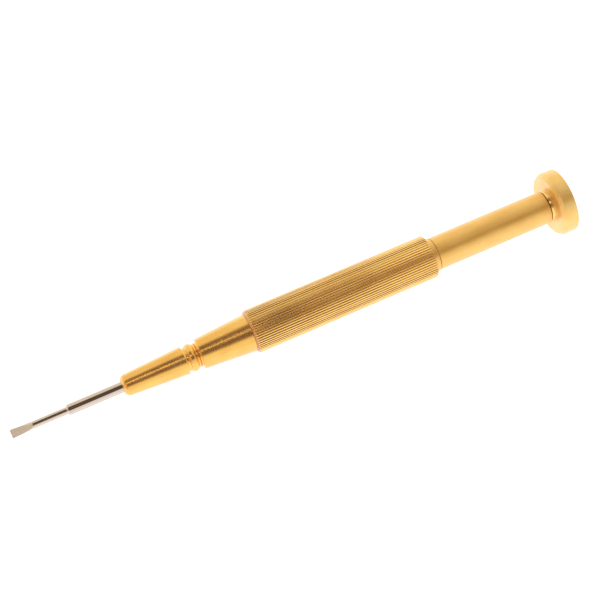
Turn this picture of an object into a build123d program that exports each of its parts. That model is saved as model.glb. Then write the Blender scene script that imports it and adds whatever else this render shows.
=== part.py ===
from build123d import *
import os
from math import cos, radians, sin, tan

# Watchmaker screwdriver with a collet nose, a fluted grip, a hollow stem that stores spare
# blades, and a cap that spins on a ball bearing. Millimetres. The tool lies along +X: the
# blade's tip is at the origin and the cap's rear face is at the far end. +Z is up.

# Fits: radial clearance between the two pieces of each kind of fit
running_clearance = 0.03
thread_clearance = 0.03
sliding_clearance = 0.02
pressed_clearance = 0.005
nose_hole_clearance = 0.10
store_clearance = 0.04
end_gap = 0.02

# Blade: turned steel rod, thin towards the tip, with two faces ground to a screwdriver edge
blade_length = 34.6
blade_reach = 20.6
blade_width = 1.6
blade_tip_thickness = 0.25
blade_flat_length = 4.05
blade_thin_length = 10.25
blade_thin_diameter = 1.35
blade_shank_diameter = 2.00
blade_step_chamfer = 0.25
blade_end_chamfer = 0.15
blade_hollow = 0.07
blade_roll = 30.0

# Nose nut: cone, groove and finger bead
nose_cone_length = 11.8
nose_face_diameter = 2.50
nose_round_length = 0.80
nose_round_radius = 1.28
nose_front_diameter = 3.95
nose_rear_diameter = 5.16
nose_lip_length = 0.90
groove_diameter = 4.30
groove_edge_diameter = 4.50
front_groove_length = 0.60
bead_length = 1.35
bead_diameter = 5.14
nut_skirt_length = 0.38
edge_chamfer = 0.10

# Collet: four jaws under the nose nut
collet_length = 12.0
collet_head_length = 3.9
collet_half_angle = 8.5
collet_front_wall = 0.18
collet_shank_wall = 0.33
collet_slot_width = 0.20
collet_slot_length = 9.0
collet_release_gap = 0.50

# Front body: threaded spigot, neck, rear cone and the long core inside the grip
spigot_wall = 0.45
nut_gap = 0.05
neck_length = 0.42
body_cone_length = 9.65
body_cone_front_diameter = 5.60
body_cone_step = 0.06
blade_end_gap = 0.40
web_length = 13.0
core_thread_length = 5.0
core_wall = 0.30

# Grip sleeve: straight flutes all round
grip_length = 35.55
grip_diameter = 8.0
grip_front_chamfer_length = 0.45
grip_front_chamfer_depth = 0.45
grip_rear_chamfer = 0.12
flute_count = 54
flute_depth = 0.15
flute_crest_width = 0.20

# Grip end ring and the washer between it and the stem
ring_length = 1.0
ring_wall = 0.24
stem_washer_thickness = 0.15
stem_washer_recess = 0.05

# Stem: smooth tube screwed into the core
stem_length = 22.6
stem_step = 0.10
stem_spigot_length = 4.6
stem_spigot_wall = 0.32
stem_edge_chamfer = 0.08

# Spare blades and the pads that hold them still
spare_count = 3
spare_gap = 0.12
store_pad_thickness = 0.50
store_plug_length = 3.0
store_end_gap = 0.10

# Ball bearing in the stem's rear end
bearing_bore_diameter = 2.0
bearing_outside_diameter = 5.0
bearing_width = 2.3
bearing_recess = 0.25
inner_ring_wall = 0.45
outer_ring_wall = 0.40
ball_count = 7
ball_diameter = 0.80
ball_clearance = 0.02
cage_wall = 0.38
cage_width = 1.24
cage_pocket_clearance = 0.03
ring_edge_chamfer = 0.10

# Pivot pin, its clip, and the cap
pin_tail_length = 0.90
pin_hold_length = 2.30
pin_groove_depth = 0.20
pin_end_chamfer = 0.12
clip_thickness = 0.30
clip_diameter = 3.2
clip_mouth_angle = 70.0
pivot_washer_diameter = 2.9
cap_gap = 0.20
cap_neck_length = 0.65
cap_neck_step = 0.03
cap_neck_crown_length = 0.50
cap_neck_crown_height = 0.12
cap_length = 3.0
cap_diameter = 12.0
cap_chamfer_length = 0.70
cap_chamfer_depth = 0.58
cap_rear_chamfer = 0.15
cap_dish_diameter = 9.6
cap_dish_depth = 0.80

# Stations along the axis, from the blade's tip
nose_x = blade_reach
front_groove_x = nose_x + nose_cone_length
bead_x = front_groove_x + front_groove_length
bead_end_x = bead_x + bead_length
nut_end_x = bead_end_x + nut_skirt_length
shoulder_x = nut_end_x + nut_gap
body_cone_x = shoulder_x + neck_length
sleeve_x = body_cone_x + body_cone_length
sleeve_end_x = sleeve_x + grip_length
ring_end_x = sleeve_end_x + ring_length
stem_x = ring_end_x + stem_washer_thickness
stem_end_x = stem_x + stem_length
cap_x = stem_end_x + cap_gap
cap_face_x = cap_x + cap_neck_length
cap_end_x = cap_face_x + cap_length

collet_x = nose_x + nose_lip_length
collet_head_end_x = collet_x + collet_head_length
collet_end_x = collet_x + collet_length
spigot_x = collet_head_end_x + collet_release_gap
blade_pocket_end_x = blade_length + blade_end_gap
store_x = shoulder_x + web_length
core_thread_x = ring_end_x - core_thread_length
stem_spigot_x = stem_x - stem_spigot_length
spare_x = store_x + store_pad_thickness + store_end_gap
store_plug_x = spare_x + blade_length + store_end_gap
bearing_end_x = stem_end_x - bearing_recess
bearing_x = bearing_end_x - bearing_width
bearing_middle_x = (bearing_x + bearing_end_x) / 2

# Radii that follow from the fits
shank_r = blade_shank_diameter / 2
thin_r = blade_thin_diameter / 2
collet_bore_r = shank_r + sliding_clearance
collet_front_r = collet_bore_r + collet_front_wall
collet_rise = tan(radians(collet_half_angle))
collet_head_r = collet_front_r + collet_head_length * collet_rise
collet_shank_r = collet_bore_r + collet_shank_wall
spigot_bore_r = collet_shank_r + running_clearance
spigot_r = spigot_bore_r + spigot_wall
nut_bore_r = spigot_r + thread_clearance
groove_r = groove_diameter / 2
groove_edge_r = groove_edge_diameter / 2
spare_circle_r = (shank_r + spare_gap / 2) / sin(radians(180 / spare_count))
store_r = spare_circle_r + shank_r + store_clearance
stem_spigot_r = store_r + stem_spigot_wall
core_thread_r = stem_spigot_r + thread_clearance
core_r = core_thread_r + core_wall
grip_r = grip_diameter / 2
ring_r = core_r + ring_wall
stem_r = ring_r - stem_step
bearing_bore_r = bearing_bore_diameter / 2
bearing_r = bearing_outside_diameter / 2
inner_ring_r = bearing_bore_r + inner_ring_wall
outer_ring_bore_r = bearing_r - outer_ring_wall
ball_r = ball_diameter / 2
ball_circle_r = (inner_ring_r + outer_ring_bore_r) / 2
race_r = ball_r + ball_clearance
pin_r = bearing_bore_r - pressed_clearance
pin_groove_r = pin_r - pin_groove_depth
clip_bore_r = pin_groove_r + pressed_clearance
cap_r = cap_diameter / 2
cap_neck_r = stem_r - cap_neck_step
cap_face_r = cap_r - cap_chamfer_depth

os.makedirs("parts", exist_ok=True)


# A blade, tip first along +X from x0, its axis shifted to (y0, z0) and its flats rolled
# about that axis. Working blade and spares are the same piece.
def blade_piece(x0, y0, z0, roll):
    with BuildPart() as piece:
        with BuildSketch(Plane.XY):
            with BuildLine():
                Polyline(
                    (0, 0),
                    (0, blade_width / 2),
                    (blade_flat_length, thin_r),
                    (blade_thin_length, thin_r),
                    (blade_thin_length + blade_step_chamfer, shank_r),
                    (blade_length - blade_end_chamfer, shank_r),
                    (blade_length, shank_r - blade_end_chamfer),
                    (blade_length, 0),
                    close=True,
                )
            make_face()
        revolve(axis=Axis.X)
        # Two hollow-ground faces: what the wheel takes off above and below the edge
        with BuildSketch(Plane.XZ):
            with BuildLine():
                grind = ThreePointArc(
                    (0, blade_tip_thickness / 2),
                    (blade_flat_length / 2, (blade_tip_thickness / 2 + thin_r) / 2 - blade_hollow),
                    (blade_flat_length, thin_r),
                )
                Polyline(grind @ 1, (blade_flat_length, blade_width), (0, blade_width), grind @ 0)
            make_face()
            mirror(about=Plane.XZ)
        extrude(amount=blade_width, both=True, mode=Mode.SUBTRACT)
    return piece.part.moved(Location((x0, y0, z0), (roll, 0, 0)))


blade = blade_piece(0, 0, 0, blade_roll)
blade.label = "blade"
export_step(blade, "parts/blade.step")

# Spare blades, side by side in the store, their flats facing outwards
for index in range(spare_count):
    angle = 90 + index * 360 / spare_count
    spare_y = spare_circle_r * cos(radians(angle))
    spare_z = spare_circle_r * sin(radians(angle))
    spare = blade_piece(spare_x, spare_y, spare_z, angle)
    spare.label = f"spare_blade_{index + 1}"
    export_step(spare, f"parts/spare_blade_{index + 1}.step")

# Collet: a cone at the front that the nose nut squeezes, split into four jaws that stay
# joined by the plain ring at the rear
with BuildPart() as collet:
    with BuildSketch(Plane.XY):
        with BuildLine():
            Polyline(
                (collet_x, collet_bore_r),
                (collet_x, collet_front_r),
                (collet_head_end_x, collet_head_r),
                (collet_head_end_x, collet_shank_r),
                (collet_end_x, collet_shank_r),
                (collet_end_x, collet_bore_r),
                close=True,
            )
        make_face()
    revolve(axis=Axis.X)
    with BuildSketch(Plane.YZ.offset(collet_x)):
        Rectangle(collet_slot_width, 2 * nut_bore_r, rotation=45)
        Rectangle(2 * nut_bore_r, collet_slot_width, rotation=45)
    extrude(amount=collet_slot_length, mode=Mode.SUBTRACT)
collet.part.label = "collet"
export_step(collet.part, "parts/collet.step")

# Nose nut: turned cone with a rounded front, one groove and a rounded finger bead. Inside, a
# cone matches the collet and the thread behind it runs on the front body's spigot.
with BuildPart() as nose_nut:
    bead_height = bead_diameter / 2 - groove_edge_r
    bead_curve = ((bead_length / 2) ** 2 + bead_height ** 2) / (2 * bead_height)
    nut_hole_r = shank_r + nose_hole_clearance
    nut_cone_r = collet_front_r + running_clearance
    nut_cone_end_x = collet_x + (nut_bore_r - nut_cone_r) / collet_rise
    with BuildSketch(Plane.XY):
        with BuildLine():
            nose_round = RadiusArc(
                (nose_x, nose_face_diameter / 2),
                (nose_x + nose_round_length, nose_front_diameter / 2),
                nose_round_radius,
            )
            Polyline(
                nose_round @ 1,
                (front_groove_x - edge_chamfer, nose_rear_diameter / 2),
                (front_groove_x, nose_rear_diameter / 2 - edge_chamfer),
                (front_groove_x, groove_edge_r),
            )
            ThreePointArc(
                (front_groove_x, groove_edge_r),
                ((front_groove_x + bead_x) / 2, groove_r),
                (bead_x, groove_edge_r),
            )
            RadiusArc((bead_x, groove_edge_r), (bead_end_x, groove_edge_r), bead_curve)
            ThreePointArc(
                (bead_end_x, groove_edge_r),
                ((bead_end_x + nut_end_x) / 2, groove_r),
                (nut_end_x, groove_edge_r),
            )
            Polyline(
                (nut_end_x, groove_edge_r),
                (nut_end_x, nut_bore_r),
                (nut_cone_end_x, nut_bore_r),
                (collet_x, nut_cone_r),
                (collet_x - end_gap, nut_cone_r),
                (collet_x - end_gap, nut_hole_r),
                (nose_x, nut_hole_r),
                nose_round @ 0,
            )
        make_face()
    revolve(axis=Axis.X)
nose_nut.part.label = "nose_nut"
export_step(nose_nut.part, "parts/nose_nut.step")

# Front body: the spigot that carries the nose nut, the polished rear cone, and the core
# that runs on through the grip. The core is bored out from the rear to store blades.
with BuildPart() as front_body:
    body_cone_rear_r = grip_r - grip_front_chamfer_depth - body_cone_step
    with BuildSketch(Plane.XY):
        with BuildLine():
            Polyline(
                (spigot_x, spigot_bore_r),
                (spigot_x, spigot_r - edge_chamfer),
                (spigot_x + edge_chamfer, spigot_r),
                (shoulder_x, spigot_r),
                (shoulder_x, groove_edge_r),
            )
            ThreePointArc(
                (shoulder_x, groove_edge_r),
                ((shoulder_x + body_cone_x) / 2, groove_r),
                (body_cone_x, groove_edge_r),
            )
            Polyline(
                (body_cone_x, groove_edge_r),
                (body_cone_x, body_cone_front_diameter / 2 - edge_chamfer),
                (body_cone_x + edge_chamfer, body_cone_front_diameter / 2),
                (sleeve_x, body_cone_rear_r),
                (sleeve_x, core_r),
                (ring_end_x, core_r),
                (ring_end_x, core_thread_r),
                (core_thread_x, core_thread_r),
                (core_thread_x, store_r),
                (store_x, store_r),
                (store_x, 0),
                (blade_pocket_end_x, 0),
                (blade_pocket_end_x, shank_r + nose_hole_clearance),
                (collet_end_x + end_gap, shank_r + nose_hole_clearance),
                (collet_end_x + end_gap, spigot_bore_r),
                (spigot_x, spigot_bore_r),
            )
        make_face()
    revolve(axis=Axis.X)
front_body.part.label = "front_body"
export_step(front_body.part, "parts/front_body.step")

# Grip sleeve: pressed over the core. The flutes are V grooves milled along its full length,
# and they run out on the front chamfer.
with BuildPart() as grip_sleeve:
    sleeve_bore_r = core_r + pressed_clearance
    with BuildSketch(Plane.XY):
        with BuildLine():
            Polyline(
                (sleeve_x, sleeve_bore_r),
                (sleeve_x, grip_r - grip_front_chamfer_depth),
                (sleeve_x + grip_front_chamfer_length, grip_r),
                (sleeve_end_x - grip_rear_chamfer, grip_r),
                (sleeve_end_x, grip_r - grip_rear_chamfer),
                (sleeve_end_x, sleeve_bore_r),
                close=True,
            )
        make_face()
    revolve(axis=Axis.X)
    flute_pitch = 360 / flute_count
    half_crest = flute_crest_width / 2 / grip_r
    half_flute = radians(flute_pitch / 2) - half_crest
    with BuildSketch(Plane.YZ.offset(sleeve_x)):
        # One flute faces straight down, so that the grip rests on the two crests beside it
        with PolarLocations(0, flute_count, start_angle=-90):
            # The V's arms go on past the crest line so that the cut is clean
            Polygon(
                (grip_r - flute_depth, 0),
                (grip_r * cos(half_flute), grip_r * sin(half_flute)),
                (grip_r + flute_depth, grip_r * sin(half_flute)),
                (grip_r + flute_depth, -grip_r * sin(half_flute)),
                (grip_r * cos(half_flute), -grip_r * sin(half_flute)),
                align=None,
            )
    extrude(amount=grip_length, mode=Mode.SUBTRACT)
grip_sleeve.part.label = "grip_sleeve"
export_step(grip_sleeve.part, "parts/grip_sleeve.step")

# Grip end ring: pressed on the core's rear end, it holds the sleeve on
with BuildPart() as grip_end_ring:
    with BuildSketch(Plane.YZ.offset(sleeve_end_x)):
        Circle(ring_r)
        Circle(core_r + pressed_clearance, mode=Mode.SUBTRACT)
    extrude(amount=ring_length)
    outer_edges = grip_end_ring.edges().filter_by(GeomType.CIRCLE).sort_by(lambda edge: edge.radius)
    chamfer(outer_edges[-2:], stem_edge_chamfer)
grip_end_ring.part.label = "grip_end_ring"
export_step(grip_end_ring.part, "parts/grip_end_ring.step")

# Stem washer: thin plastic ring on the stem's spigot that stops the thread working loose
with BuildPart() as stem_washer:
    with BuildSketch(Plane.YZ.offset(ring_end_x)):
        Circle(stem_r - stem_washer_recess)
        Circle(stem_spigot_r + pressed_clearance, mode=Mode.SUBTRACT)
    extrude(amount=stem_washer_thickness)
stem_washer.part.label = "stem_washer"
export_step(stem_washer.part, "parts/stem_washer.step")

# Stem: a tube whose front spigot screws into the core and whose rear end seats the bearing
with BuildPart() as stem_tube:
    seat_r = bearing_r + pressed_clearance
    with BuildSketch(Plane.XY):
        with BuildLine():
            Polyline(
                (stem_spigot_x, store_r),
                (stem_spigot_x, stem_spigot_r - edge_chamfer),
                (stem_spigot_x + edge_chamfer, stem_spigot_r),
                (stem_x, stem_spigot_r),
                (stem_x, stem_r - stem_edge_chamfer),
                (stem_x + stem_edge_chamfer, stem_r),
                (stem_end_x - stem_edge_chamfer, stem_r),
                (stem_end_x, stem_r - stem_edge_chamfer),
                (stem_end_x, seat_r),
                (bearing_x, seat_r),
                (bearing_x, store_r),
                close=True,
            )
        make_face()
    revolve(axis=Axis.X)
stem_tube.part.label = "stem_tube"
export_step(stem_tube.part, "parts/stem_tube.step")

# Store pad: felt disc at the bottom of the core's bore
with BuildPart() as store_pad:
    with BuildSketch(Plane.YZ.offset(store_x)):
        Circle(store_r - pressed_clearance)
    extrude(amount=store_pad_thickness)
store_pad.part.label = "store_pad"
export_step(store_pad.part, "parts/store_pad.step")

# Store plug: felt plug in the stem's bore, behind the spare blades
with BuildPart() as store_plug:
    with BuildSketch(Plane.YZ.offset(store_plug_x)):
        Circle(store_r - pressed_clearance)
    extrude(amount=store_plug_length)
store_plug.part.label = "store_plug"
export_step(store_plug.part, "parts/store_plug.step")

# Bearing rings: each is a turned ring with a round race in its wall
with BuildPart() as bearing_outer_ring:
    with BuildSketch(Plane.YZ.offset(bearing_x)):
        Circle(bearing_r)
        Circle(outer_ring_bore_r, mode=Mode.SUBTRACT)
    extrude(amount=bearing_width)
    outer_edges = bearing_outer_ring.edges().filter_by(GeomType.CIRCLE).sort_by(lambda edge: edge.radius)
    chamfer(outer_edges[-2:], ring_edge_chamfer)
    with BuildSketch(Plane.XY):
        with Locations((bearing_middle_x, ball_circle_r)):
            Circle(race_r)
    revolve(axis=Axis.X, mode=Mode.SUBTRACT)
bearing_outer_ring.part.label = "bearing_outer_ring"
export_step(bearing_outer_ring.part, "parts/bearing_outer_ring.step")

with BuildPart() as bearing_inner_ring:
    with BuildSketch(Plane.YZ.offset(bearing_x)):
        Circle(inner_ring_r)
        Circle(bearing_bore_r, mode=Mode.SUBTRACT)
    extrude(amount=bearing_width)
    with BuildSketch(Plane.XY):
        with Locations((bearing_middle_x, ball_circle_r)):
            Circle(race_r)
    revolve(axis=Axis.X, mode=Mode.SUBTRACT)
bearing_inner_ring.part.label = "bearing_inner_ring"
export_step(bearing_inner_ring.part, "parts/bearing_inner_ring.step")

# Balls, and the cage whose pockets keep them evenly spaced
with BuildPart() as bearing_balls:
    with Locations(Plane.YZ.offset(bearing_middle_x)):
        with PolarLocations(ball_circle_r, ball_count):
            Sphere(ball_r)
bearing_balls.part.label = "bearing_balls"
export_step(bearing_balls.part, "parts/bearing_balls.step")

with BuildPart() as bearing_cage:
    pocket_planes = []
    for index in range(ball_count):
        angle = radians(index * 360 / ball_count)
        outward = Vector(0, cos(angle), sin(angle))
        ball_centre = Vector(bearing_middle_x, 0, 0) + outward * ball_circle_r
        pocket_planes.append(Plane(origin=ball_centre, z_dir=outward))
    with BuildSketch(Plane.YZ.offset(bearing_middle_x - cage_width / 2)):
        Circle(ball_circle_r + cage_wall / 2)
        Circle(ball_circle_r - cage_wall / 2, mode=Mode.SUBTRACT)
    extrude(amount=cage_width)
    with BuildSketch(*pocket_planes):
        Circle(ball_r + cage_pocket_clearance)
    extrude(amount=cage_wall, both=True, mode=Mode.SUBTRACT)
bearing_cage.part.label = "bearing_cage"
export_step(bearing_cage.part, "parts/bearing_cage.step")

# Pivot pin: pressed into the cap and carried by the bearing's inner ring, with a groove
# near its front end for the clip
clip_end_x = bearing_x - end_gap
clip_x = clip_end_x - clip_thickness
pin_x = bearing_x - pin_tail_length
pin_end_x = cap_x + pin_hold_length
with BuildPart() as pivot_pin:
    with BuildSketch(Plane.XY):
        with BuildLine():
            Polyline(
                (pin_x, 0),
                (pin_x, pin_r - pin_end_chamfer),
                (pin_x + pin_end_chamfer, pin_r),
                (clip_x - end_gap, pin_r),
                (clip_x - end_gap, pin_groove_r),
                (bearing_x, pin_groove_r),
                (bearing_x, pin_r),
                (pin_end_x - pin_end_chamfer, pin_r),
                (pin_end_x, pin_r - pin_end_chamfer),
                (pin_end_x, 0),
                close=True,
            )
        make_face()
    revolve(axis=Axis.X)
pivot_pin.part.label = "pivot_pin"
export_step(pivot_pin.part, "parts/pivot_pin.step")

# Pivot clip: open spring clip in the pin's groove, against the inner ring
with BuildPart() as pivot_clip:
    with BuildSketch(Plane.YZ.offset(clip_x)):
        Circle(clip_diameter / 2)
        Circle(clip_bore_r, mode=Mode.SUBTRACT)
        # The mouth is a wedge from the centre, wider than the clip
        mouth_reach = clip_diameter
        mouth_half_width = mouth_reach * tan(radians(clip_mouth_angle / 2))
        Polygon(
            (0, 0),
            (mouth_half_width, -mouth_reach),
            (-mouth_half_width, -mouth_reach),
            align=None,
            mode=Mode.SUBTRACT,
        )
    extrude(amount=clip_thickness)
pivot_clip.part.label = "pivot_clip"
export_step(pivot_clip.part, "parts/pivot_clip.step")

# Pivot washer: keeps the cap's neck clear of the bearing's outer ring and of the stem
with BuildPart() as pivot_washer:
    with BuildSketch(Plane.YZ.offset(bearing_end_x)):
        Circle(pivot_washer_diameter / 2)
        Circle(pin_r + pressed_clearance, mode=Mode.SUBTRACT)
    extrude(amount=cap_x - bearing_end_x)
pivot_washer.part.label = "pivot_washer"
export_step(pivot_washer.part, "parts/pivot_washer.step")

# Cap: short crowned neck, flat front face with a chamfered rim, and a shallow dish in the
# rear face for the fingertip that presses on it
with BuildPart() as cap:
    dish_r = cap_dish_diameter / 2
    dish_curve = (dish_r ** 2 + cap_dish_depth ** 2) / (2 * cap_dish_depth)
    neck_curve = (cap_neck_crown_length ** 2 + cap_neck_crown_height ** 2) / (2 * cap_neck_crown_height)
    with BuildSketch(Plane.XY):
        with BuildLine():
            Polyline(
                (cap_x, pin_r + pressed_clearance),
                (cap_x, cap_neck_r - cap_neck_crown_height),
            )
            RadiusArc(
                (cap_x, cap_neck_r - cap_neck_crown_height),
                (cap_x + cap_neck_crown_length, cap_neck_r),
                neck_curve,
            )
            Polyline(
                (cap_x + cap_neck_crown_length, cap_neck_r),
                (cap_face_x, cap_neck_r),
                (cap_face_x, cap_face_r),
                (cap_face_x + cap_chamfer_length, cap_r),
                (cap_end_x - cap_rear_chamfer, cap_r),
                (cap_end_x, cap_r - cap_rear_chamfer),
                (cap_end_x, dish_r),
            )
            RadiusArc((cap_end_x, dish_r), (cap_end_x - cap_dish_depth, 0), -dish_curve)
            Polyline(
                (cap_end_x - cap_dish_depth, 0),
                (pin_end_x + end_gap, 0),
                (pin_end_x + end_gap, pin_r + pressed_clearance),
                (cap_x, pin_r + pressed_clearance),
            )
        make_face()
    revolve(axis=Axis.X)
cap.part.label = "cap"
export_step(cap.part, "parts/cap.step")
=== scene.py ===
from math import asin, cos, pi, radians, sin, tan

import bmesh
import bpy
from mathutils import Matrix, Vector


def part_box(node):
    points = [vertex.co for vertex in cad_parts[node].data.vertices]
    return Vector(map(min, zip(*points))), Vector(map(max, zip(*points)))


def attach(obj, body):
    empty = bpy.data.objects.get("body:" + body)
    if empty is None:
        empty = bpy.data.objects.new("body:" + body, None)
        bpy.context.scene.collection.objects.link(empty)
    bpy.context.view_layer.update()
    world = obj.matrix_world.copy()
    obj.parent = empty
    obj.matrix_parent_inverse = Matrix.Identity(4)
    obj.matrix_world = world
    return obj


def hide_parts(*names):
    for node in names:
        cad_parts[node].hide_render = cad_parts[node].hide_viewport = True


# A watchmaker's screwdriver with a collet nose, a fluted grip, a hollow stem and a cap that
# spins on a ball bearing. The tool lies along +X from the blade's tip. Every size is in metres.
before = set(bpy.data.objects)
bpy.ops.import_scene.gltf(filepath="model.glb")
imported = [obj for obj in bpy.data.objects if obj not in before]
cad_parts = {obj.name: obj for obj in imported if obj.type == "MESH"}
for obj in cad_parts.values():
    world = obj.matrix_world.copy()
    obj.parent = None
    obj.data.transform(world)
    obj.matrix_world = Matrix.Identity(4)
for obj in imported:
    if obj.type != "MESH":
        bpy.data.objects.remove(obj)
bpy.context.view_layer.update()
mm = 0.001

# ---------------------------------------------------------------------------------------
# The blade: a turned and hardened steel rod. The front is thinned in the lathe, and the tip
# is ground hollow on a wheel from two sides, which leaves fine marks across the flats.
# The shank behind the step is polished and slides into the collet.

blade_front, blade_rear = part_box("blade")
blade_start = blade_front.x
blade_end = blade_rear.x
shank_r = 1.00 * mm
thin_r = 0.675 * mm
tip_half_width = 0.80 * mm
tip_half_thickness = 0.125 * mm
tip_wear = 0.02 * mm
flat_length = 4.05 * mm
grind_hollow = 0.07 * mm
thin_length = 10.25 * mm
step_length = 0.25 * mm
rear_chamfer = 0.15 * mm
blade_roll = radians(30)
soft_edge = 0.02 * mm
grind_steps = 40
grind_easing = 1.6


def skin(name, rows, joined_up=False, sharp_above=32):
    """Covers rows of points, each a loop round the axis, with one shell. A row of a single
    point closes an end, and joined_up goes on from the last row to the first."""
    starts = []
    points = []
    for row in rows:
        starts.append(len(points))
        points.extend(row)
    pairs = [(i, i + 1) for i in range(len(rows) - 1)]
    if joined_up:
        pairs.append((len(rows) - 1, 0))
    faces = []
    for a, b in pairs:
        around = max(len(rows[a]), len(rows[b]))
        for i in range(around):
            j = (i + 1) % around
            face = (
                starts[a] + i % len(rows[a]),
                starts[a] + j % len(rows[a]),
                starts[b] + j % len(rows[b]),
                starts[b] + i % len(rows[b]),
            )
            faces.append(tuple(dict.fromkeys(face)))
    mesh = bpy.data.meshes.new(name)
    mesh.from_pydata(points, [], faces)
    shell = bmesh.new()
    shell.from_mesh(mesh)
    bmesh.ops.recalc_face_normals(shell, faces=shell.faces)
    shell.to_mesh(mesh)
    shell.free()
    mesh.shade_smooth()
    mesh.set_sharp_from_angle(angle=radians(sharp_above))
    piece = bpy.data.objects.new(name, mesh)
    bpy.context.scene.collection.objects.link(piece)
    return piece


class Value:
    """A number that runs through a material's nodes. Arithmetic on it adds Math nodes."""

    def __init__(self, finish, socket):
        self.finish = finish
        self.socket = socket

    def maths(self, operation, *terms):
        inputs = dict(enumerate(terms))
        return self.finish.node("ShaderNodeMath", {"operation": operation}, inputs)

    def __add__(self, other):
        return self.maths("ADD", self, other)

    def __radd__(self, other):
        return self.maths("ADD", other, self)

    def __sub__(self, other):
        return self.maths("SUBTRACT", self, other)

    def __rsub__(self, other):
        return self.maths("SUBTRACT", other, self)

    def __mul__(self, other):
        return self.maths("MULTIPLY", self, other)

    def __rmul__(self, other):
        return self.maths("MULTIPLY", other, self)

    def __truediv__(self, other):
        return self.maths("DIVIDE", self, other)

    def __pow__(self, other):
        return self.maths("POWER", self, other)

    def smooth(self, low, high):
        """0 below low, 1 above high, and a smooth step between them."""
        return self.finish.node(
            "ShaderNodeMapRange",
            {"interpolation_type": "SMOOTHSTEP"},
            {"Value": self, "From Min": low, "From Max": high},
        )


class Finish:
    """A material, or the studio's light, whose nodes are added one at a time."""

    def __init__(self, owner):
        owner.use_nodes = True
        self.owner = owner
        self.tree = owner.node_tree
        self.tree.nodes.clear()

    def node(self, kind, settings=None, inputs=None, output=0):
        """Adds a node: its settings first, then the values or links of its sockets."""
        made = self.tree.nodes.new(kind)
        for name, setting in (settings or {}).items():
            setattr(made, name, setting)
        for name, value in (inputs or {}).items():
            if isinstance(value, Value):
                self.tree.links.new(value.socket, made.inputs[name])
            else:
                made.inputs[name].default_value = value
        return Value(self, made.outputs[output]) if len(made.outputs) else made

    def place(self):
        """Where a point lies on its piece, in metres."""
        return self.node("ShaderNodeTexCoord", output=3)

    def split(self, vector):
        """The three parts of a vector."""
        parts = self.node("ShaderNodeSeparateXYZ", inputs={0: vector})
        return [Value(self, socket) for socket in parts.socket.node.outputs]

    def stretched(self, vector, x, y, z):
        """A place times so many clouds per metre along each axis."""
        inputs = {0: vector, 1: (x, y, z)}
        return self.node("ShaderNodeVectorMath", {"operation": "MULTIPLY"}, inputs)

    def dot(self, vector, axis):
        """How far one vector leans towards another."""
        inputs = {0: vector, 1: axis}
        return self.node("ShaderNodeVectorMath", {"operation": "DOT_PRODUCT"}, inputs, output=1)

    def noise(self, vector, detail=2.0, roughness=0.5):
        """Cloudy noise from 0 to 1, one cloud per unit of the vector."""
        return self.node(
            "ShaderNodeTexNoise",
            inputs={"Vector": vector, "Scale": 1.0, "Detail": detail, "Roughness": roughness},
        )

    def mix(self, factor, first, second):
        """One colour blended into another."""
        inputs = {0: factor, 6: first, 7: second}
        return self.node("ShaderNodeMix", {"data_type": "RGBA"}, inputs, output=2)

    def bump(self, height, depth):
        return self.node("ShaderNodeBump", inputs={"Height": height, "Distance": depth})

    def surface(self, **sockets):
        """The shader itself, wired to the material's output."""
        inputs = {name.replace("_", " "): value for name, value in sockets.items()}
        shader = self.node("ShaderNodeBsdfPrincipled", inputs=inputs)
        self.node("ShaderNodeOutputMaterial", inputs={"Surface": shader})
        return self.owner


def ground_row(x, half_width, half_thickness):
    """A loop of the blade at x: a circle with a flat above and below, rolled into place."""
    nearly_round = 0.97
    corner = asin(min(half_thickness / half_width, nearly_round))
    flat_steps = 14
    side_steps = 14
    angles = [corner + (pi - 2 * corner) * i / flat_steps for i in range(flat_steps)]
    angles += [pi - corner + 2 * corner * i / side_steps for i in range(side_steps)]
    angles += [angle + pi for angle in angles]
    row = []
    for angle in angles:
        y = half_width * cos(angle)
        z = max(-half_thickness, min(half_thickness, half_width * sin(angle)))
        row.append((
            blade_start + x,
            y * cos(blade_roll) - z * sin(blade_roll),
            y * sin(blade_roll) + z * cos(blade_roll),
        ))
    return row


blade_rows = [[(blade_start, 0, 0)]]
blade_rows.append(ground_row(0, tip_half_width - tip_wear, tip_half_thickness - tip_wear))
for step in range(grind_steps + 1):
    # Rows gather towards the rear, where the flats run out in a curve
    t = 1 - (1 - step / grind_steps) ** grind_easing
    x = tip_wear + (flat_length - tip_wear) * t
    half_width = tip_half_width + (thin_r - tip_half_width) * t
    half_thickness = tip_half_thickness + (thin_r - tip_half_thickness) * t
    half_thickness -= grind_hollow * 4 * t * (1 - t)
    blade_rows.append(ground_row(x, half_width, half_thickness))
for x, r in (
    (thin_length - soft_edge, thin_r),
    (thin_length, thin_r + soft_edge / 2),
    (thin_length + step_length, shank_r - soft_edge),
    (thin_length + step_length + 1.5 * soft_edge, shank_r),
    (blade_end - blade_start - rear_chamfer, shank_r),
    (blade_end - blade_start, shank_r - rear_chamfer),
):
    blade_rows.append(ground_row(x, r, r))
blade_rows.append([(blade_end, 0, 0)])
blade = skin("blade_ground_steel", blade_rows, sharp_above=24)


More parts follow.
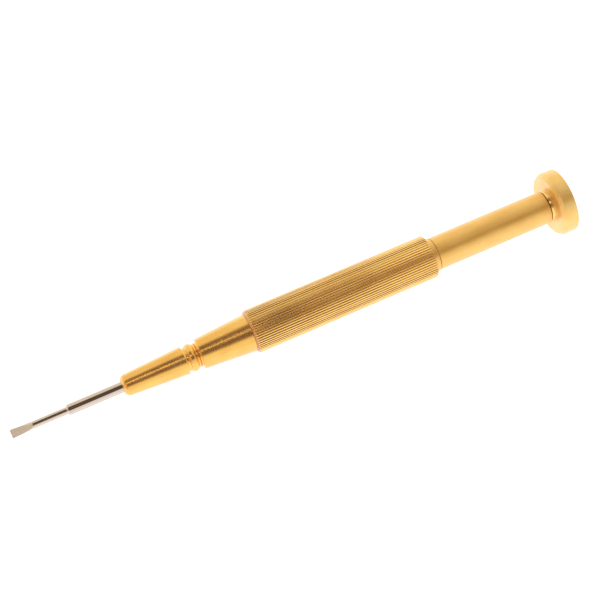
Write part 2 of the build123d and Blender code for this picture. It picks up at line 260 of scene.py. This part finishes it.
def steel_finish(name, flats_end=0.0):
    """Hardened steel. Ahead of flats_end it is ground across, and behind it is turned."""
    steel = Finish(bpy.data.materials.new(name))
    place = steel.place()
    x, _, _ = steel.split(place)
    turning = steel.noise(steel.stretched(place, 22000, 500, 500), detail=3, roughness=0.6)
    polish = steel.noise(steel.stretched(place, 900, 2600, 2600), detail=2)
    grinding = steel.noise(steel.stretched(place, 16000, 700, 700), detail=4, roughness=0.7)
    clouds = steel.noise(steel.stretched(place, 500, 1400, 1400), detail=3)
    turned = x.smooth(flats_end - 0.25 * mm, flats_end + 0.05 * mm)
    roughness = 0.5 - 0.44 * turned + 0.05 * (clouds - 0.5)
    height = turning * turned * 0.12 + polish * turned * 0.4 + grinding * (1 - turned) * 2.2
    color = steel.mix(clouds, (0.60, 0.53, 0.44, 1), (0.70, 0.62, 0.52, 1))
    ground = steel.mix(clouds, (0.80, 0.70, 0.53, 1), (0.90, 0.79, 0.61, 1))
    color = steel.mix(turned, ground, color)
    return steel.surface(
        Base_Color=color,
        Metallic=0.55 + 0.45 * turned,
        Roughness=roughness,
        Normal=steel.bump(height, 0.0012 * mm),
    )


blade.data.materials.append(steel_finish("ground_steel", blade_start + flat_length))
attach(blade, "blade")
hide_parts("blade")

# ---------------------------------------------------------------------------------------
# The collet: four brass jaws under the nose nut, turned and slit with a saw. Only their
# front ends can be seen, deep in the nose nut's hole, and the CAD piece stays.


def brass_finish(name):
    """Plain turned brass, a little dull where the air has reached it."""
    brass = Finish(bpy.data.materials.new(name))
    place = brass.place()
    turning = brass.noise(brass.stretched(place, 15000, 400, 400), detail=3, roughness=0.6)
    tarnish = brass.noise(brass.stretched(place, 700, 700, 700), detail=4)
    color = brass.mix(tarnish, (0.78, 0.55, 0.22, 1), (0.55, 0.36, 0.13, 1))
    return brass.surface(
        Base_Color=color,
        Metallic=1.0,
        Roughness=0.24 + 0.22 * tarnish,
        Normal=brass.bump(turning, 0.0015 * mm),
    )


def dress(nodes, material):
    """Gives CAD pieces that stay as they are their finish."""
    for node in nodes:
        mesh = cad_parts[node].data
        mesh.materials.clear()
        mesh.materials.append(material)


dress(["collet", "bearing_cage"], brass_finish("turned_brass"))

# ---------------------------------------------------------------------------------------
# The nose nut: a cone turned from aluminium bar, polished and gold anodised. Its front is
# rounded round the blade's hole, and behind a groove stands the bead that the fingers turn.

nut_front, nut_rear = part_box("nose_nut")
nose_x = nut_front.x
nut_end_x = nut_rear.x
nut_r = nut_rear.z
nose_hole_r = 1.10 * mm
nose_face_r = 1.25 * mm
nose_round_end = (nose_x + 0.80 * mm, 1.975 * mm)
nose_round_r = 1.28 * mm
groove_r = 2.15 * mm
groove_edge_r = 2.25 * mm
skirt_length = 0.38 * mm
bead_length = 1.35 * mm
bead_r = 2.57 * mm
groove_length = 0.60 * mm
bead_end_x = nut_end_x - skirt_length
bead_x = bead_end_x - bead_length
groove_x = bead_x - groove_length
nut_edge_round = 0.10 * mm
nut_thread_r = 1.86 * mm
nut_cone_x = nose_x + 0.90 * mm
nut_cone_end_x = nose_x + 5.12 * mm
nut_cone_r = 1.23 * mm
fine_round = 0.03 * mm
turned_sides = 180


def swept(start, end, radius, steps):
    """Points on the arc from start to end, without its ends. It bulges away from the axis,
    or with a radius below zero towards it."""
    start = Vector(start)
    end = Vector(end)
    chord = end - start
    half = chord.length / 2
    inwards = Vector((chord.y, -chord.x)).normalized() * (1 if radius > 0 else -1)
    radius = abs(radius)
    centre = (start + end) / 2 + inwards * (radius ** 2 - half ** 2) ** 0.5
    spokes = [(start - centre).slerp(end - centre, i / steps) for i in range(1, steps)]
    return [(*(centre + spoke.normalized() * radius), 0) for spoke in spokes]


def rounded(corners, closed):
    """An outline whose corners, each given as x, radius from the axis and rounding, are
    turned into short arcs with one more point on either side that keeps flats flat."""
    arc_steps = 5
    support = 0.3
    line = []

    def free_length(first, second):
        """What is left of a side, when each corner at its ends takes its own share."""
        side = (Vector(first[:2]) - Vector(second[:2])).length
        return max(0.0, side / 2 - max(first[2], second[2]))

    for i, (x, r, rounding) in enumerate(corners):
        corner = Vector((x, r))
        open_end = not closed and i in (0, len(corners) - 1)
        if not rounding or open_end:
            line.append(corner)
            continue
        back = (Vector(corners[i - 1][:2]) - corner).normalized()
        following = corners[(i + 1) % len(corners)]
        ahead = (Vector(following[:2]) - corner).normalized()
        half = back.angle(ahead) / 2
        centre = corner + (back + ahead).normalized() * rounding / sin(half)
        reach = rounding / tan(half)
        first = corner + back * reach
        last = corner + ahead * reach
        behind = min(rounding * support, free_length(corners[i], corners[i - 1]))
        if behind > 0:
            line.append(first + back * behind)
        for step in range(arc_steps + 1):
            spoke = (first - centre).slerp(last - centre, step / arc_steps)
            line.append(centre + spoke.normalized() * rounding)
        beyond = min(rounding * support, free_length(corners[i], following))
        if beyond > 0:
            line.append(last + ahead * beyond)
    return line


def turned(name, corners, closed=True, sides=turned_sides):
    """A lathe-turned piece: the outline carried round the X axis. An open outline starts
    and ends on the axis."""
    axis_r = 1e-9
    rows = []
    for x, r in rounded(corners, closed):
        if r < axis_r:
            rows.append([(x, 0, 0)])
            continue
        turn = [2 * pi * i / sides for i in range(sides)]
        rows.append([(x, r * cos(angle), r * sin(angle)) for angle in turn])
    return skin(name, rows, joined_up=closed)


def arc_radius(chord, height):
    """The radius of an arc that stands so high over its chord."""
    return ((chord / 2) ** 2 + height ** 2) / (2 * height)


groove_curve = -arc_radius(groove_length, groove_edge_r - groove_r)
bead_curve = arc_radius(bead_length, bead_r - groove_edge_r)
skirt_curve = -arc_radius(skirt_length, groove_edge_r - groove_r)
nose_nut = turned("nose_nut_polished", [
    (nose_x, nose_hole_r, fine_round),
    (nose_x, nose_face_r, fine_round),
    *swept((nose_x + fine_round, nose_face_r + fine_round), nose_round_end, nose_round_r, 10),
    (*nose_round_end, 0),
    (groove_x, nut_r, nut_edge_round),
    (groove_x, groove_edge_r, 0),
    *swept((groove_x, groove_edge_r), (bead_x, groove_edge_r), groove_curve, 8),
    (bead_x, groove_edge_r, 0),
    *swept((bead_x, groove_edge_r), (bead_end_x, groove_edge_r), bead_curve, 20),
    (bead_end_x, groove_edge_r, 0),
    *swept((bead_end_x, groove_edge_r), (nut_end_x, groove_edge_r), skirt_curve, 6),
    (nut_end_x, groove_edge_r, 0),
    (nut_end_x, nut_thread_r, fine_round),
    (nut_cone_end_x, nut_thread_r, 0),
    (nut_cone_x, nut_cone_r, 0),
    (nut_cone_x, nose_hole_r, 0),
])


def gold_finish(name, roughness, waves, marks, mark_pitch=0.06, deep=(0.86, 0.45, 0.055, 1),
                pale=(0.94, 0.54, 0.085, 1), haze=0.30, groove_shade_bottom=None, groove_shade_top=None):
    """Gold anodised aluminium: metal seen through a clear, faintly tinted oxide film. waves
    is how far the hand polish rolls, marks how deep the lathe's rings are, both in mm, and
    between the two groove radii shade is painted into the colour, darker towards the bottom."""
    gold = Finish(bpy.data.materials.new(name))
    place = gold.place()
    _, y, z = gold.split(place)
    marks_per_metre = 1 / (mark_pitch * mm)
    rings = gold.noise(gold.stretched(place, marks_per_metre, 120, 120), detail=3, roughness=0.65)
    rolling = gold.noise(gold.stretched(place, 1900, 900, 900), detail=1)
    clouds = gold.noise(gold.stretched(place, 260, 420, 420), detail=4, roughness=0.6)
    specks = gold.noise(gold.stretched(place, 3500, 3500, 3500), detail=2).smooth(0.70, 0.78)
    color = gold.mix(clouds.smooth(0.25, 0.75), deep, pale)
    if groove_shade_bottom:
        radius = (y * y + z * z) ** 0.5
        crest = radius.smooth(groove_shade_bottom, groove_shade_top)
        # Painted shade: the bottoms of the flutes are painted dark, standing in for the shade in
        # the grooves.
        color = gold.mix(crest, (0.50, 0.21, 0.03, 1), color)
    color = gold.mix(specks * 0.35, color, (0.42, 0.17, 0.03, 1))
    roughness = roughness + 0.08 * (clouds - 0.5) + 0.05 * (rings - 0.5) + 0.2 * specks
    height = rolling * waves + rings * marks
    return gold.surface(
        Base_Color=color,
        Metallic=1.0,
        Roughness=roughness,
        Coat_Weight=1.0,
        Coat_Roughness=haze,
        Coat_IOR=1.7,
        Normal=gold.bump(height, mm),
    )


polished_gold = gold_finish("polished_gold", roughness=0.25, waves=0.006, marks=0.0026, haze=0.35)
nose_nut.data.materials.append(polished_gold)
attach(nose_nut, "nose_nut")
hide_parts("nose_nut")

# ---------------------------------------------------------------------------------------
# The front body: one turned aluminium piece. A threaded spigot carries the nose nut, the
# rear cone is polished like the nut, and the bored core runs on inside the grip.

body_front, body_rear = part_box("front_body")
sleeve_front, sleeve_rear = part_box("grip_sleeve")
collet_rear_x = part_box("collet")[1].x
spigot_x = body_front.x
core_end_x = body_rear.x
sleeve_x = sleeve_front.x
sleeve_end_x = sleeve_rear.x
shoulder_x = nut_end_x + 0.05 * mm
body_cone_x = shoulder_x + 0.42 * mm
body_cone_r = 2.80 * mm
body_cone_rear_r = 3.49 * mm
spigot_bore_r = 1.38 * mm
spigot_r = 1.83 * mm
core_r = 2.914 * mm
core_thread_r = 2.614 * mm
core_thread_x = core_end_x - 5.0 * mm
store_r = 2.264 * mm
store_x = shoulder_x + 13.0 * mm
collet_stop_x = collet_rear_x + 0.02 * mm
pocket_end_x = blade_end + 0.40 * mm
neck_curve = -arc_radius(body_cone_x - shoulder_x, groove_edge_r - groove_r)

front_body = turned("front_body_polished", [
    (store_x, 0, 0),
    (store_x, store_r, 0),
    (core_thread_x, store_r, 0),
    (core_thread_x, core_thread_r, 0),
    (core_end_x, core_thread_r, fine_round),
    (core_end_x, core_r, fine_round),
    (sleeve_x, core_r, 0),
    (sleeve_x, body_cone_rear_r, 0.05 * mm),
    (body_cone_x, body_cone_r, nut_edge_round),
    (body_cone_x, groove_edge_r, 0),
    *reversed(swept((shoulder_x, groove_edge_r), (body_cone_x, groove_edge_r), neck_curve, 6)),
    (shoulder_x, groove_edge_r, 0),
    (shoulder_x, spigot_r, 0),
    (spigot_x, spigot_r, fine_round),
    (spigot_x, spigot_bore_r, fine_round),
    (collet_stop_x, spigot_bore_r, 0),
    (collet_stop_x, nose_hole_r, 0),
    (pocket_end_x, nose_hole_r, 0),
    (pocket_end_x, 0, 0),
], closed=False)
front_body.data.materials.append(polished_gold)
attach(front_body, "handle")
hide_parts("front_body")

# ---------------------------------------------------------------------------------------
# The grip sleeve: an aluminium tube pressed over the core. Its straight V flutes are milled
# all round with a narrow crest left between them, and they run out on the front chamfer.

grip_r = 4.00 * mm
grip_front_r = 3.55 * mm
grip_chamfer_length = 0.45 * mm
grip_rear_chamfer = 0.12 * mm
sleeve_bore_r = core_r + 0.005 * mm
flute_count = 54
flute_depth = 0.15 * mm
flute_pitch = 2 * pi / flute_count
crest_half_angle = 0.10 * mm / grip_r
crest_fall = 0.06
flat_flank = 0.4

# Stops across half a flute, as shares of its width from the crest's middle to the bottom
crest_share = crest_half_angle / (flute_pitch / 2)
flank_stops = [crest_share * stop for stop in (0.35, 0.70, 0.9, 1.0, 1.1, 1.25)]
flank_stops += [crest_share + (1 - crest_share) * stop for stop in (0.35, 0.55, 0.75, 0.88, 0.95)]
half_flute = [0, *flank_stops, 1]


def fluted_r(share):
    """The sleeve's radius at that share of the way from crest to flute bottom: a crest that
    falls a little to its edges, and a flank partly straight and partly worn round."""
    fall = max(0, (share - crest_share) / (1 - crest_share))
    top = flute_depth * crest_fall * min(1, (share / crest_share) ** 2)
    worn = fall * flat_flank + (1 - flat_flank) * (1 - cos(pi * fall)) / 2
    return grip_r - top - flute_depth * (1 - crest_fall) * worn


flute_columns = []
for flute in range(flute_count):
    bottom = -pi / 2 + flute * flute_pitch
    for share in half_flute[:-1]:
        flute_columns.append((bottom - (1 - share) * flute_pitch / 2, fluted_r(share)))
    for share in reversed(half_flute[1:]):
        flute_columns.append((bottom + (1 - share) * flute_pitch / 2, fluted_r(share)))

chamfer_rise = (grip_r - grip_front_r) / grip_chamfer_length
edge = 0.02 * mm
sleeve_rows = [[] for _ in range(12)]
for angle, r in flute_columns:
    run_out = sleeve_x + (r - grip_front_r) / chamfer_rise
    rear_cut = max(edge, r - (grip_r - grip_rear_chamfer))
    outline = [
        (sleeve_x, sleeve_bore_r),
        (sleeve_x, grip_front_r - 2 * edge),
        (sleeve_x + 0.3 * edge, grip_front_r - edge),
        (sleeve_x + edge, grip_front_r + edge * chamfer_rise),
        (run_out - 2 * edge, r - 2 * edge * chamfer_rise),
        (run_out, r - 0.3 * edge * chamfer_rise),
        (run_out + 2 * edge, r),
        (sleeve_end_x - rear_cut - edge, r),
        (sleeve_end_x - rear_cut, r - 0.15 * edge),
        (sleeve_end_x - 0.15 * edge, r - rear_cut),
        (sleeve_end_x, r - rear_cut - edge),
        (sleeve_end_x, sleeve_bore_r),
    ]
    for row, (x, height) in zip(sleeve_rows, outline):
        row.append((x, height * cos(angle), height * sin(angle)))
grip_sleeve = skin("grip_sleeve_fluted", sleeve_rows, joined_up=True, sharp_above=40)
# The fluted gold has painted shade in the bottoms of the flutes.
grip_sleeve.data.materials.append(gold_finish(
    "fluted_gold",
    roughness=0.14,
    waves=0.002,
    marks=0.0006,
    mark_pitch=0.15,
    groove_shade_bottom=grip_r - flute_depth,
    groove_shade_top=grip_r - 0.45 * flute_depth,
    deep=(0.94, 0.54, 0.10, 1),
    pale=(0.99, 0.62, 0.15, 1),
))
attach(grip_sleeve, "handle")
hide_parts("grip_sleeve")

# ---------------------------------------------------------------------------------------
# The grip end ring: a plain turned ring pressed on the end of the core. It keeps the sleeve
# from creeping back, and is satin gold like the stem behind it.

ring_front, ring_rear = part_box("grip_end_ring")
ring_r = ring_rear.z
satin_edge = 0.08 * mm
bore_edge = 0.01 * mm
grip_end_ring = turned("grip_end_ring_satin", [
    (ring_front.x, sleeve_bore_r, bore_edge),
    (ring_front.x, ring_r, satin_edge),
    (ring_rear.x, ring_r, satin_edge),
    (ring_rear.x, sleeve_bore_r, bore_edge),
])
satin_gold = gold_finish(
    "satin_gold",
    roughness=0.52,
    waves=0.001,
    marks=0.0012,
    mark_pitch=0.045,
    deep=(0.90, 0.52, 0.085, 1),
    pale=(0.96, 0.60, 0.13, 1),
)
grip_end_ring.data.materials.append(satin_gold)
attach(grip_end_ring, "handle")
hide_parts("grip_end_ring")

# ---------------------------------------------------------------------------------------
# The stem washer: a thin ring punched from amber nylon sheet. It sits a little below the
# stem's surface and shows only as the dark line between the ring and the stem.

washer_front, washer_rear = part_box("stem_washer")
stem_spigot_r = 2.584 * mm
washer_bore_r = stem_spigot_r + 0.006 * mm
washer_edge = 0.02 * mm
stem_washer = turned("stem_washer_nylon", [
    (washer_front.x, washer_bore_r, washer_edge),
    (washer_front.x, washer_rear.z, washer_edge),
    (washer_rear.x, washer_rear.z, washer_edge),
    (washer_rear.x, washer_bore_r, washer_edge),
])
nylon = Finish(bpy.data.materials.new("amber_nylon"))
nylon_place = nylon.place()
nylon_clouds = nylon.noise(nylon.stretched(nylon_place, 1200, 1200, 1200), detail=3)
nylon_grain = nylon.noise(nylon.stretched(nylon_place, 9000, 9000, 9000), detail=2)
stem_washer.data.materials.append(nylon.surface(
    Base_Color=nylon.mix(nylon_clouds, (0.36, 0.20, 0.07, 1), (0.46, 0.27, 0.10, 1)),
    Roughness=0.45 + 0.2 * nylon_grain,
    Subsurface_Weight=0.1,
    Subsurface_Radius=(0.2 * mm, 0.2 * mm, 0.15 * mm),
    Normal=nylon.bump(nylon_grain, 0.002 * mm),
))
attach(stem_washer, "stem_washer")
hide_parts("stem_washer")

# ---------------------------------------------------------------------------------------
# The stem: an aluminium tube with a satin turned outside, gold anodised. Its front spigot
# screws into the core, spare blades lie in its bore, and its rear end seats the bearing.

stem_front, stem_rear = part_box("stem_tube")
stem_x = washer_rear.x
stem_r = stem_rear.z
bearing_seat_r = 2.505 * mm
bearing_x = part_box("bearing_outer_ring")[0].x
stem_tube = turned("stem_tube_satin", [
    (stem_front.x, store_r, fine_round),
    (stem_front.x, stem_spigot_r, nut_edge_round),
    (stem_x, stem_spigot_r, washer_edge),
    (stem_x, stem_r, satin_edge),
    (stem_rear.x, stem_r, 0.04 * mm),
    (stem_rear.x, bearing_seat_r, fine_round),
    (bearing_x, bearing_seat_r, 0),
    (bearing_x, store_r, 0),
])
stem_tube.data.materials.append(satin_gold)
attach(stem_tube, "stem")
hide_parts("stem_tube")

# ---------------------------------------------------------------------------------------
# What the hollow handle holds: three spare blades of the same ground steel, and two discs of
# pressed red wool felt that keep them from rattling. None shows until the stem comes out.

dress(["spare_blade_1", "spare_blade_2", "spare_blade_3"], steel_finish("spare_steel"))

felt = Finish(bpy.data.materials.new("red_felt"))
felt_place = felt.place()
fibres = felt.noise(felt.stretched(felt_place, 6000, 6000, 6000), detail=5, roughness=0.7)
felt_clouds = felt.noise(felt.stretched(felt_place, 900, 900, 900), detail=2)
dress(["store_pad", "store_plug"], felt.surface(
    Base_Color=felt.mix(felt_clouds, (0.33, 0.035, 0.03, 1), (0.46, 0.075, 0.05, 1)),
    Roughness=0.85 + 0.1 * fibres,
    Sheen_Weight=0.4,
    Normal=felt.bump(fibres, 0.05 * mm),
))

# ---------------------------------------------------------------------------------------
# The bearing and the pivot: a small steel ball bearing in the stem's rear end, a ground pin
# pressed into the cap, the spring clip in the pin's groove, and a thin washer.


def bearing_finish(name):
    """Through-hardened steel, lapped bright, with the faint blue-grey that it keeps."""
    bright = Finish(bpy.data.materials.new(name))
    place = bright.place()
    lapping = bright.noise(bright.stretched(place, 9000, 2500, 2500), detail=3)
    clouds = bright.noise(bright.stretched(place, 800, 800, 800), detail=3)
    return bright.surface(
        Base_Color=bright.mix(clouds, (0.58, 0.59, 0.61, 1), (0.74, 0.74, 0.75, 1)),
        Metallic=1.0,
        Roughness=0.12 + 0.1 * lapping,
        Normal=bright.bump(lapping, 0.0006 * mm),
    )


dress(
    ["bearing_outer_ring", "bearing_inner_ring", "bearing_balls", "pivot_pin", "pivot_clip",
     "pivot_washer"],
    bearing_finish("bearing_steel"),
)

# ---------------------------------------------------------------------------------------
# The cap: turned from one piece of aluminium and gold anodised. A short crowned neck stands
# off the stem, the rim is chamfered in front, and the fingertip rests in a dish at the rear.

cap_front, cap_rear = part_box("cap")
cap_x = cap_front.x
cap_end_x = cap_rear.x
cap_r = cap_rear.z
cap_neck_r = 3.02 * mm
cap_neck_start_r = cap_neck_r - 0.12 * mm
cap_neck_edge = 0.02 * mm
cap_neck_crown = (cap_x + 0.50 * mm, cap_neck_r)
cap_neck_curve = 1.10 * mm
cap_face_x = cap_x + 0.65 * mm
cap_face_r = cap_r - 0.58 * mm
cap_chamfer_length = 0.70 * mm
cap_rear_chamfer = 0.15 * mm
dish_r = 4.80 * mm
dish_depth = 0.80 * mm
dish_curve = (dish_r ** 2 + dish_depth ** 2) / (2 * dish_depth)
pin_bore_r = 1.0 * mm
pin_bore_end_x = cap_x + 2.32 * mm
dish_steps = 16

dish = []
for step in range(dish_steps, -1, -1):
    r = dish_r * step / dish_steps
    sag = dish_depth - (dish_curve - (dish_curve ** 2 - r ** 2) ** 0.5)
    dish.append((cap_end_x - sag, r, 0.10 * mm if step == dish_steps else 0))
cap = turned("cap_polished", [
    (pin_bore_end_x, 0, 0),
    (pin_bore_end_x, pin_bore_r, 0),
    (cap_x, pin_bore_r, fine_round),
    (cap_x, cap_neck_start_r, cap_neck_edge),
    *swept((cap_x + cap_neck_edge, cap_neck_start_r + cap_neck_edge / 2), cap_neck_crown,
           cap_neck_curve, 8),
    (*cap_neck_crown, 0),
    (cap_face_x, cap_neck_r, 0.06 * mm),
    (cap_face_x, cap_face_r, 0.05 * mm),
    (cap_face_x + cap_chamfer_length, cap_r, 0.08 * mm),
    (cap_end_x, cap_r, cap_rear_chamfer),
    *dish,
], closed=False, sides=256)


def cap_finish(name):
    """The same gold film over a face cut in the lathe: its marks are rings round the axis on
    the flat faces and lines round the rim. The neck is smoother, and its front face, in the
    gap against the stem, is painted nearly black as shade."""
    gold = Finish(bpy.data.materials.new(name))
    place = gold.place()
    x, y, z = gold.split(place)
    radius = (y * y + z * z) ** 0.5
    marks_per_metre = 14000
    track = gold.node(
        "ShaderNodeCombineXYZ",
        inputs={0: x * marks_per_metre, 1: radius * marks_per_metre, 2: 0.0},
    )
    rings = gold.noise(track, detail=3, roughness=0.65)
    rolling = gold.noise(gold.stretched(place, 900, 700, 700), detail=1)
    clouds = gold.noise(gold.stretched(place, 350, 350, 350), detail=4, roughness=0.6)
    color = gold.mix(clouds.smooth(0.25, 0.75), (0.92, 0.57, 0.14, 1), (0.98, 0.69, 0.22, 1))
    neck = 1 - x.smooth(cap_face_x - 0.15 * mm, cap_face_x)
    # Painted shade: the neck's front face, in the gap against the stem, is painted nearly black.
    gap_shade = 1 - x.smooth(cap_x, cap_x + 0.03 * mm)
    color = gold.mix(gap_shade, color, (0.06, 0.03, 0.012, 1))
    return gold.surface(
        Base_Color=color,
        Metallic=1.0,
        Roughness=0.52 - 0.27 * neck + 0.08 * (clouds - 0.5) + 0.06 * (rings - 0.5),
        Coat_Weight=1.0,
        Coat_Roughness=0.30 - 0.15 * neck,
        Coat_IOR=1.55,
        Normal=gold.bump(rings * 0.0012 + rolling * 0.003, mm),
    )


cap.data.materials.append(cap_finish("cap_gold"))
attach(cap, "cap")
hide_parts("cap")

# ---------------------------------------------------------------------------------------
# The bench, the light and the camera: a white light table under a white tent. Overhead the
# tent has one dark opening, crossed by a strip of light, which the polished metal shows as
# dark and bright lines. Its far side is warmer, and lamps stand behind its two ends.

rest_front = Vector((sleeve_x + grip_chamfer_length, 0, -grip_r))
rest_rear = Vector((cap_end_x - cap_rear_chamfer, 0, -cap_r))
floor_half = 2.0
floor_slope = (rest_rear - rest_front).normalized()
floor_middle = (rest_front + rest_rear) / 2
floor_mesh = bpy.data.meshes.new("light_table")
floor_mesh.from_pydata(
    [
        floor_middle + floor_slope * floor_half * side + Vector((0, floor_half * end, 0))
        for side, end in ((-1, -1), (1, -1), (1, 1), (-1, 1))
    ],
    [],
    [(0, 1, 2, 3)],
)
light_table = bpy.data.objects.new("light_table", floor_mesh)
bpy.context.scene.collection.objects.link(light_table)
table_finish = Finish(bpy.data.materials.new("light_table_white"))
floor_mesh.materials.append(table_finish.surface(
    Base_Color=(0.35, 0.35, 0.35, 1),
    Roughness=0.9,
    Emission_Color=(1.0, 0.99, 1.08, 1),
    Emission_Strength=1.02,
))

view_azimuth = radians(-25.3)
view_elevation = radians(63.9)
overhead = Vector((0, -cos(view_azimuth) * cos(view_elevation), sin(view_elevation))).normalized()
aside = Vector((0, overhead.z, -overhead.y))

world = bpy.data.worlds.new("studio_tent")
bpy.context.scene.world = world
tent = Finish(world)
direction = tent.node("ShaderNodeTexCoord", output=0)
along, _, _ = tent.split(direction)
towards = tent.dot(direction, overhead)
sideways = tent.dot(direction, aside)
turn = sideways.maths("ARCTAN2", sideways, towards) * (180 / pi)


def between(value, rise, fall):
    """1 between two soft edges, each given as where its step starts and where it ends."""
    return value.smooth(*rise) * (1 - value.smooth(*fall))


# The steel and the cones, the grip, and the stem each show another stretch of the tent, so
# its opening can differ between them. Its edges are in degrees round the tool, and 0 is
# towards the lens.
by_cones = 1 - along.smooth(0.01, 0.035)
by_grip = between(along, (0.09, 0.13), (0.25, 0.29))
by_stem = along.smooth(0.25, 0.30)
opening_start = (-31, -17)
opening_stop = (42, 60)
stem_start_shift = 6
stem_stop_shift = 34
opening = (turn - stem_start_shift * by_stem).smooth(*opening_start)
opening = opening * (1 - (turn + stem_stop_shift * by_stem).smooth(*opening_stop))
seam = between(turn, (4, 12), (20, 28)) * by_grip
slit = between(turn, (11, 15), (17, 21)) * by_cones
seam_light = 0.9
opening = opening * (1 - seam_light * seam)
warm = turn.smooth(25, 85)
ends = along.maths("ABSOLUTE", along).smooth(0.55, 0.9)
lamp_pitch = 90
lamp_turn = turn * (2 * pi / lamp_pitch)
lamps = lamp_turn.maths("COSINE", lamp_turn) * 0.5 + 0.5
end_light = 0.45 + 0.7 * lamps
tent_light = 1.08
warm_loss = 0.10
opening_loss = 0.94
opening_loss_less_by_cones = 0.08
slit_light = 2.1
brightness = tent_light - warm_loss * warm * (1 - by_stem)
brightness = brightness - opening * (opening_loss - opening_loss_less_by_cones * by_cones)
brightness = brightness + slit_light * slit
brightness = brightness * (1 - ends) + end_light * ends
tint = tent.mix(warm, (1.0, 0.99, 0.985, 1), (1.0, 0.94, 0.80, 1))
tint = tent.mix(opening * (1 - slit), tint, (1.0, 0.64, 0.50, 1))
backdrop = tent.node("ShaderNodeBackground", inputs={"Color": tint, "Strength": brightness})
tent.node("ShaderNodeOutputWorld", inputs={"Surface": backdrop})

# The lens looks down on the middle of the tool, a little off its own axis. The shift is in
# shares of the picture's width.
looked_at = Vector((55.5 * mm, 0, 0))
view_distance = 293 * mm
lens_length = 99.0
sensor_width = 36.0
frame_shift = Vector((-1 / 150, 0.016))
off_axis = frame_shift * sensor_width / lens_length * view_distance
back = Vector((
    sin(view_azimuth) * cos(view_elevation),
    -cos(view_azimuth) * cos(view_elevation),
    sin(view_elevation),
))
camera_data = bpy.data.cameras.new("camera")
camera_data.lens = lens_length
camera_data.sensor_width = sensor_width
camera_data.clip_start = 10 * mm
camera_data.clip_end = 10.0
camera = bpy.data.objects.new("camera", camera_data)
camera.rotation_mode = "QUATERNION"
camera.rotation_quaternion = (-back).to_track_quat("-Z", "Y")
across = camera.rotation_quaternion @ Vector((1, 0, 0))
upwards = camera.rotation_quaternion @ Vector((0, 1, 0))
camera.location = looked_at + back * view_distance + across * off_axis.x + upwards * off_axis.y
bpy.context.scene.collection.objects.link(camera)
bpy.context.scene.camera = camera
bpy.context.scene.view_settings.view_transform = "Standard"
